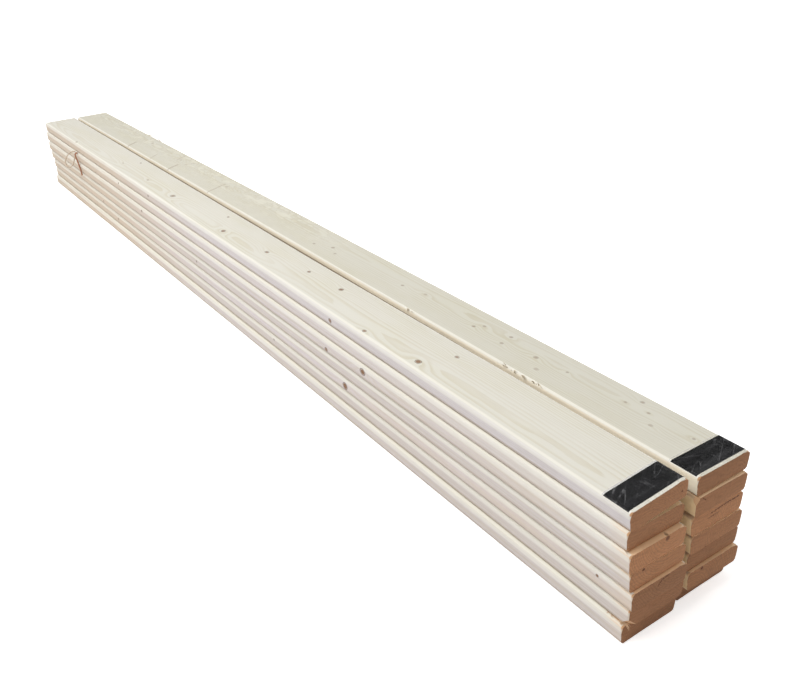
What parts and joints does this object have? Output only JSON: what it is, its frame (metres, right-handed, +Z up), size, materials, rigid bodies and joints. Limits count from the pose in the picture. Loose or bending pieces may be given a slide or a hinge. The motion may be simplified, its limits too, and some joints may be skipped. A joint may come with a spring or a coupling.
{
  "type": "bundle of pine studs",
  "caption": "Loose stack of long planed softwood studs with rounded edges, laid flat in two columns with staggered sawn ends and dark labels near one end.",
  "frame": {"origin": "middle of the bundle footprint, on the floor", "axes": "+X along the studs towards the labelled near end, +Y across the two columns, +Z up"},
  "size_m": [2.4194, 0.2401, 0.2035],
  "materials": {
    "black_label": "gloss",
    "brown_twine": "twisted fibre",
    "clear_film": "clear gloss",
    "pale_string": "thin, slightly clear",
    "pine": "planed, pale, unfinished"
  },
  "bodies": {
    "root": {"brown_twine": "brown_twine", "left_film": "clear_film", "left_label": "black_label", "left_stud_1": "pine", "left_stud_2": "pine", "left_stud_3": "pine", "left_stud_4": "pine", "left_stud_5": "pine", "left_stud_6": "pine", "left_stud_7": "pine", "pale_loop": "pale_string", "right_film": "clear_film", "right_label": "black_label", "right_stud_1": "pine", "right_stud_2": "pine", "right_stud_3": "pine", "right_stud_4": "pine", "right_stud_5": "pine", "right_stud_6": "pine", "right_stud_7": "pine"}
  },
  "joints": []
}
